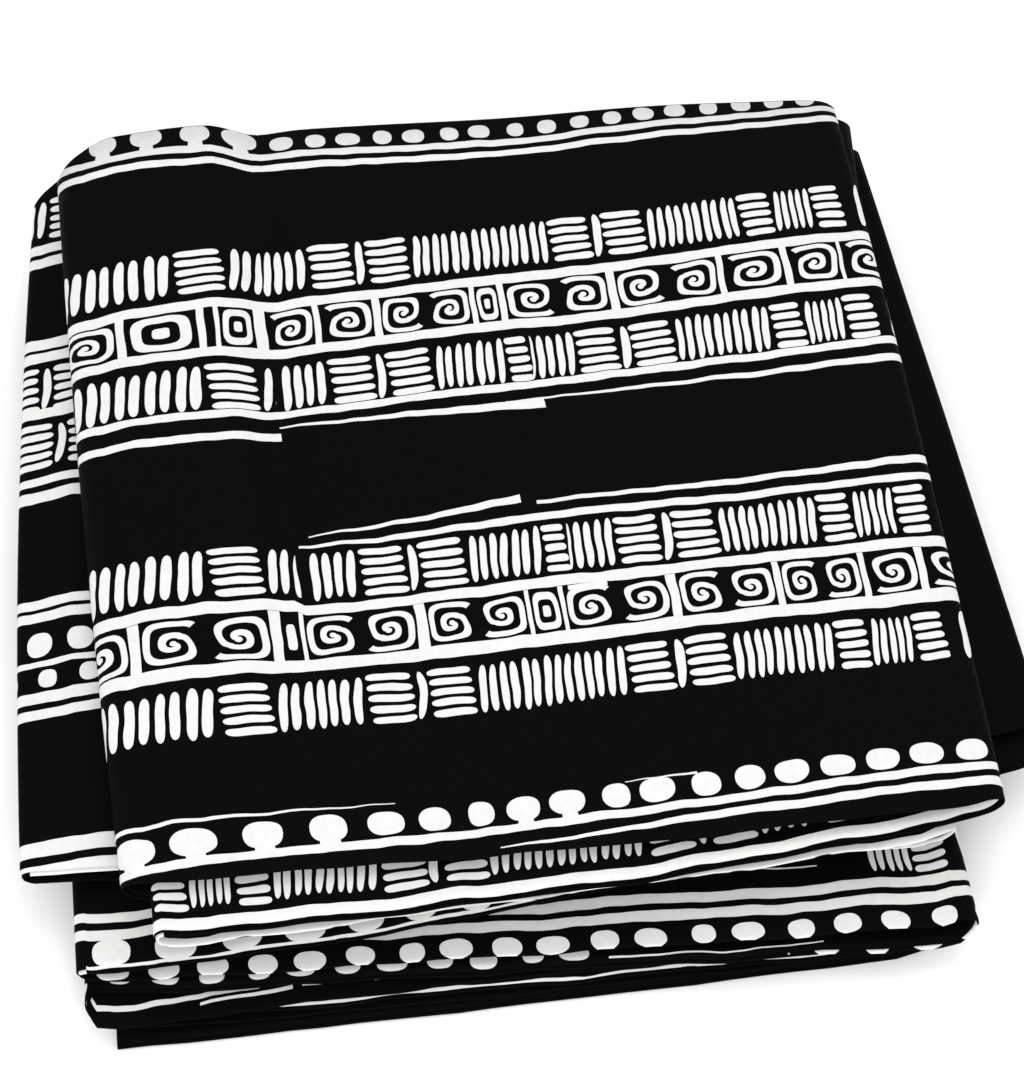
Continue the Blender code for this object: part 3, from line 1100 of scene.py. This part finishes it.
def mixed_colour(tree, share, first, second):
    """A Mix node of two colours."""
    node = tree.nodes.new("ShaderNodeMix")
    node.data_type = "RGBA"
    tree.links.new(share, node.inputs["Factor"])
    for slot, value in (("A", first), ("B", second)):
        socket = [s for s in node.inputs if s.name == slot and s.type == "RGBA"][0]
        if isinstance(value, tuple):
            socket.default_value = value
        else:
            tree.links.new(value, socket)
    return [s for s in node.outputs if s.type == "RGBA"][0]


def weave_height(tree, place):
    """The plain weave's threads, as a height field."""
    parts = tree.nodes.new("ShaderNodeSeparateXYZ")
    tree.links.new(place, parts.inputs[0])
    warp = maths(tree, "SINE", Field(tree, parts.outputs[0]) * (THREADS_PER_METRE * math.pi))
    weft = maths(tree, "SINE", Field(tree, parts.outputs[1]) * (THREADS_PER_METRE * math.pi))
    return warp * weft


def bump(tree, height, strength, distance):
    """A Bump node of a height field."""
    node = tree.nodes.new("ShaderNodeBump")
    node.inputs["Strength"].default_value = strength
    node.inputs["Distance"].default_value = distance
    tree.links.new(height, node.inputs["Height"])
    return node


def printed_cotton(name, design):
    """Matt printed cotton: black ground with the white design, weave and faint mottling."""
    material = bpy.data.materials.new(name)
    material.use_nodes = True
    tree = material.node_tree
    shader = tree.nodes["Principled BSDF"]
    shader.inputs["Roughness"].default_value = COTTON_ROUGHNESS
    shader.inputs["Specular IOR Level"].default_value = COTTON_SPECULAR
    shader.inputs["Sheen Weight"].default_value = COTTON_SHEEN
    shader.inputs["Sheen Roughness"].default_value = COTTON_SHEEN_ROUGHNESS
    u, v, place = place_fields(tree)
    mottle = noise(tree, place, MOTTLES_PER_METRE)
    white = mixed_colour(tree, mottle.outputs["Fac"], WHITE_COTTON, WHITE_MOTTLE)
    mask = design_mask(design, u, v)
    if mask is None:
        shader.inputs["Base Color"].default_value = BLACK_DYE
    else:
        print_colour = mixed_colour(tree, mask.socket, BLACK_DYE, white)
        tree.links.new(print_colour, shader.inputs["Base Color"])
    weave = bump(tree, weave_height(tree, place).socket, WEAVE_STRENGTH, WEAVE_HEIGHT * MM)
    crumple = noise(tree, place, CRUMPLES_PER_METRE)
    soft = bump(tree, crumple.outputs["Fac"], CRUMPLE_STRENGTH, CRUMPLE_HEIGHT * MM)
    tree.links.new(weave.outputs["Normal"], soft.inputs["Normal"])
    tree.links.new(soft.outputs["Normal"], shader.inputs["Normal"])
    return material


FLOOR_HALF = 3.0
FLOOR_DROP = 0.0004
FLOOR_WHITE = (0.95, 0.95, 0.95, 1.0)
FLOOR_ROUGHNESS = 0.9


def build_floor():
    """A plain pale floor."""
    mesh = bpy.data.meshes.new("floor")
    corners = [(x * FLOOR_HALF, y * FLOOR_HALF, 0.0) for x, y in ((-1, -1), (1, -1), (1, 1), (-1, 1))]
    mesh.from_pydata(corners, [], [(0, 1, 2, 3)])
    floor = bpy.data.objects.new("floor", mesh)
    floor.location.z = -FLOOR_DROP
    bpy.context.scene.collection.objects.link(floor)
    material = bpy.data.materials.new("floor_paper")
    material.use_nodes = True
    shader = material.node_tree.nodes["Principled BSDF"]
    shader.inputs["Base Color"].default_value = FLOOR_WHITE
    shader.inputs["Roughness"].default_value = FLOOR_ROUGHNESS
    mesh.materials.append(material)


# The camera of the photograph, in the row frame.
CAMERA_AZIMUTH = math.radians(-5.9)
CAMERA_ELEVATION = math.radians(58.5)
CAMERA_DISTANCE = 1.483
CAMERA_TARGET = Vector((-ROW_SHIFT[0] * MM, -ROW_SHIFT[1] * MM, 0.070))
CAMERA_LENS = 108.8
CAMERA_SENSOR = 36.0


def build_camera():
    """A long lens from above and a little to the left of the front."""
    back = Vector((
        math.sin(CAMERA_AZIMUTH) * math.cos(CAMERA_ELEVATION),
        -math.cos(CAMERA_AZIMUTH) * math.cos(CAMERA_ELEVATION),
        math.sin(CAMERA_ELEVATION),
    ))
    data = bpy.data.cameras.new("camera")
    data.lens = CAMERA_LENS
    data.sensor_width = CAMERA_SENSOR
    camera = bpy.data.objects.new("camera", data)
    camera.location = CAMERA_TARGET + back * CAMERA_DISTANCE
    camera.rotation_euler = back.to_track_quat("Z", "Y").to_euler()
    bpy.context.scene.collection.objects.link(camera)
    bpy.context.scene.camera = camera


Softbox = namedtuple("Softbox", "name place size watts")
SOFTBOXES = (
    Softbox("overhead", (0.25, 0.5, 1.9), 1.6, 10.0),
    Softbox("front_fill", (-0.35, -1.7, 0.95), 1.5, 19.0),
)
SKY = 1.05


def build_light():
    """Soft studio light: a bright even room and two large softboxes."""
    world = bpy.data.worlds.new("studio")
    world.use_nodes = True
    sky = world.node_tree.nodes["Background"]
    sky.inputs["Color"].default_value = (1.0, 1.0, 1.0, 1.0)
    sky.inputs["Strength"].default_value = SKY
    bpy.context.scene.world = world
    bpy.context.scene.view_settings.view_transform = "Standard"
    for box in SOFTBOXES:
        data = bpy.data.lights.new(box.name, "AREA")
        data.size = box.size
        data.energy = box.watts
        light = bpy.data.objects.new(box.name, data)
        light.location = box.place
        light.rotation_euler = Vector(box.place).to_track_quat("Z", "Y").to_euler()
        bpy.context.scene.collection.objects.link(light)


build_camera()
build_light()
build_floor()
cloth = build_cloth({name: printed_cotton(name, design) for name, design in DESIGNS.items()})
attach(cloth, "root")
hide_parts("folded_cloth")
